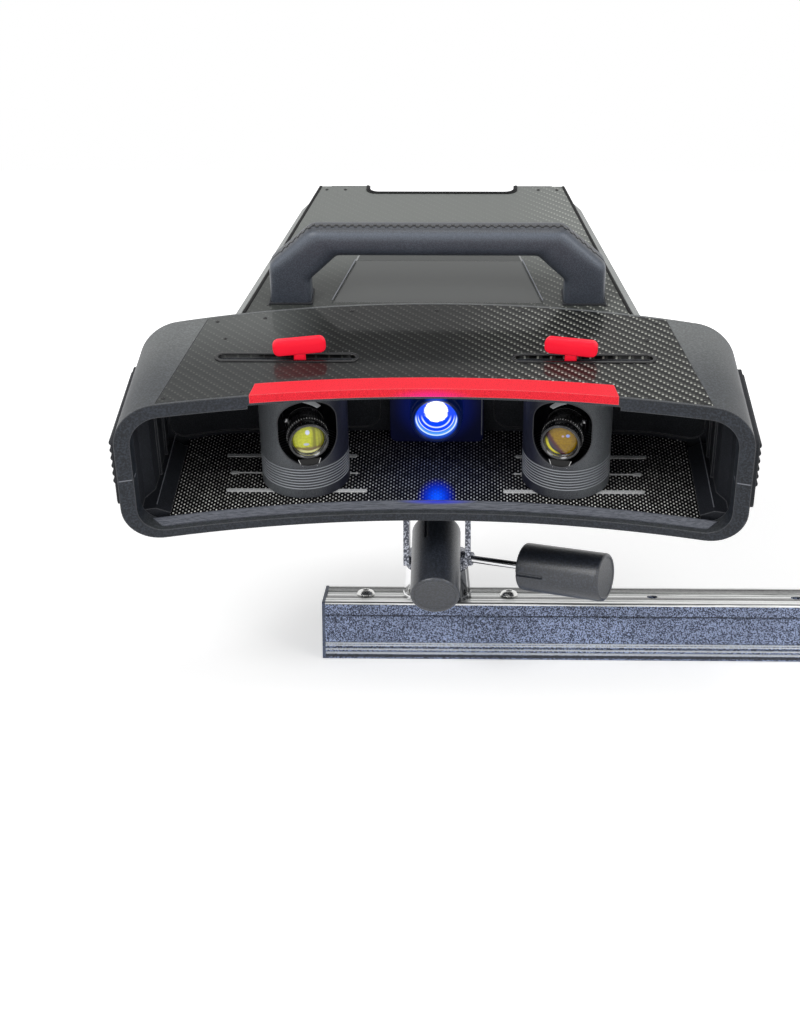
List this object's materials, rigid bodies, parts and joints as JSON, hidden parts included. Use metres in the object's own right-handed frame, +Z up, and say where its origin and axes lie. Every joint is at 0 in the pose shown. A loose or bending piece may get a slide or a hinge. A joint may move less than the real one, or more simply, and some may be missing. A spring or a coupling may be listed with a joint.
{
  "type": "desktop 3d scanner",
  "caption": "Arc-fronted structured-light scanner with two sliding camera turrets and a projector, on a pan, tilt and roll head fixed to a crossbar.",
  "frame": {"origin": "on the crossbar's underside, on the head's pan axis", "axes": "+X along the crossbar, +Y to the scanner's rear, +Z up along the pan axis"},
  "size_m": [0.5503, 0.4009, 0.3564],
  "materials": {
    "rail_metal": "hammered grey-blue sides, bright ground top",
    "end_cap_plastic": "fine grain",
    "screw_steel": "turned, slightly worn",
    "head_chrome": "polished chrome",
    "head_black": "satin black paint",
    "grip_plastic": "pebbled moulded grip",
    "knob_plastic": "fluted moulded knob",
    "shell_plastic": "fine spark-eroded texture",
    "carbon_panel": "clear-coated twill weave",
    "cover_satin": "smooth satin",
    "trim_red": "satin red",
    "knob_red": "semi-gloss red",
    "liner_gloss": "polished black",
    "floor_sheet": "perforated black sheet",
    "guide_grey": "satin grey",
    "ledge_grey": "textured blue-grey",
    "inner_plastic": "moulded black",
    "turret_paint": "hammered dark grey",
    "lens_black": "anodised black",
    "ring_black": "knurled anodised black",
    "lens_coated": "amber coated glass",
    "projector_glass": "blue lit glass",
    "camera_metal": "satin",
    "engine_metal": "milled",
    "board_green": "solder mask",
    "fan_black": "moulded",
    "pad_rubber": "soft grip",
    "edging_rubber": "smooth",
    "handle_leather": "stitched dark blue-grey leather",
    "socket_plastic": "moulded",
    "switch_plastic": "gloss"
  },
  "bodies": {
    "crossbar": {"rail_profile": "rail_metal", "rail_end_caps": "end_cap_plastic", "rail_screws": "screw_steel", "head_base": "head_chrome", "head_bolt": "screw_steel"},
    "pan": {"pan_yoke": "head_chrome", "tilt_pin": "head_chrome"},
    "pan_handle": {"pan_handle_rod": "head_chrome", "pan_handle_grip": "grip_plastic"},
    "tilt": {"tilt_block": "head_black"},
    "tilt_handle": {"tilt_handle_rod": "head_chrome", "tilt_handle_grip": "grip_plastic"},
    "roll_knob": {"roll_knob": "knob_plastic"},
    "left_camera": {"left_turret": "turret_paint", "left_camera_block": "camera_metal", "left_lens_barrel": "lens_black", "left_lens_glass": "lens_coated", "left_slide_knob": "knob_red"},
    "left_focus": {"left_focus_ring": "ring_black"},
    "left_iris": {"left_iris_ring": "ring_black"},
    "right_camera": {"right_turret": "turret_paint", "right_camera_block": "camera_metal", "right_lens_barrel": "lens_black", "right_lens_glass": "lens_coated", "right_slide_knob": "knob_red"},
    "right_focus": {"right_focus_ring": "ring_black"},
    "right_iris": {"right_iris_ring": "ring_black"},
    "fan_rotor": {"fan_rotor": "fan_black"},
    "power_switch": {"power_switch": "switch_plastic"},
    "scanner": {"roll_plate": "head_black", "roll_pin": "head_chrome", "mount_plate": "head_black", "mount_screws": "screw_steel", "lower_shell": "shell_plastic", "upper_shell": "shell_plastic", "top_panel": "carbon_panel", "trim_strip": "trim_red", "slot_liners": "liner_gloss", "floor_plate": "floor_sheet", "guide_bars": "guide_grey", "front_ledge": "ledge_grey", "bulkhead": "inner_plastic", "side_liners": "inner_plastic", "projector_housing": "inner_plastic", "projector_lens_barrel": "lens_black", "projector_glass": "projector_glass", "light_engine": "engine_metal", "heatsink": "engine_metal", "side_pad_right": "pad_rubber", "side_pad_left": "pad_rubber", "rear_shell": "shell_plastic", "rear_panel": "carbon_panel", "centre_cover": "cover_satin", "bay_edging": "edging_rubber", "bottom_cover": "inner_plastic", "carry_handle": "handle_leather", "handle_pads": "edging_rubber", "main_board": "board_green", "fan_frame": "fan_black", "rear_sockets": "socket_plastic"}
  },
  "joints": [
    {"name": "head_pan", "type": "hinge", "parent": "crossbar", "child": "pan", "pos_m": [0, 0, 0.0713], "axis": [0, 0, 1], "continuous": true},
    {"name": "pan_handle_twist", "type": "hinge", "parent": "pan", "child": "pan_handle", "pos_m": [0, 0, 0.0805], "axis": [0.8988, -0.4384, 0], "range_deg": [-90, 90]},
    {"name": "head_tilt", "type": "hinge", "parent": "pan", "child": "tilt", "pos_m": [0, 0, 0.127], "axis": [1, 0, 0], "range_deg": [-45, 12]},
    {"name": "tilt_handle_twist", "type": "hinge", "parent": "tilt", "child": "tilt_handle", "pos_m": [0, -0.00283, 0.13171], "axis": [0, -0.8572, -0.515], "range_deg": [-90, 90]},
    {"name": "head_roll", "type": "hinge", "parent": "tilt", "child": "scanner", "pos_m": [0, -0.00608, 0.14447], "axis": [0, 0.9444, 0.3289], "range_deg": [-12, 12]},
    {"name": "roll_knob_turn", "type": "hinge", "parent": "scanner", "child": "roll_knob", "pos_m": [0, 0.02225, 0.15434], "axis": [0, 0.9444, 0.3289], "range_deg": [-120, 120]},
    {"name": "left_camera_slide", "type": "slide", "parent": "scanner", "child": "left_camera", "axis": [1, 0, 0], "range_m": [-0.052, 0.031]},
    {"name": "left_focus_turn", "type": "hinge", "parent": "left_camera", "child": "left_focus", "pos_m": [-0.0965, -0.08858, 0.20744], "axis": [0.1994, -0.9254, -0.3223], "range_deg": [0, 150]},
    {"name": "left_iris_turn", "type": "hinge", "parent": "left_camera", "child": "left_iris", "pos_m": [-0.0965, -0.08858, 0.20744], "axis": [0.1994, -0.9254, -0.3223], "range_deg": [0, 90]},
    {"name": "right_camera_slide", "type": "slide", "parent": "scanner", "child": "right_camera", "axis": [1, 0, 0], "range_m": [-0.031, 0.052]},
    {"name": "right_focus_turn", "type": "hinge", "parent": "right_camera", "child": "right_focus", "pos_m": [0.0965, -0.08858, 0.20744], "axis": [-0.1994, -0.9254, -0.3223], "range_deg": [0, 150]},
    {"name": "right_iris_turn", "type": "hinge", "parent": "right_camera", "child": "right_iris", "pos_m": [0.0965, -0.08858, 0.20744], "axis": [-0.1994, -0.9254, -0.3223], "range_deg": [0, 90]},
    {"name": "fan_spin", "type": "hinge", "parent": "scanner", "child": "fan_rotor", "pos_m": [0, 0.18754, 0.29026], "axis": [0, 0.9444, 0.3289], "continuous": true},
    {"name": "power_switch_rock", "type": "hinge", "parent": "scanner", "child": "power_switch", "pos_m": [0.082, 0.20543, 0.32402], "axis": [1, 0, 0], "range_deg": [-10, 0]}
  ]
}
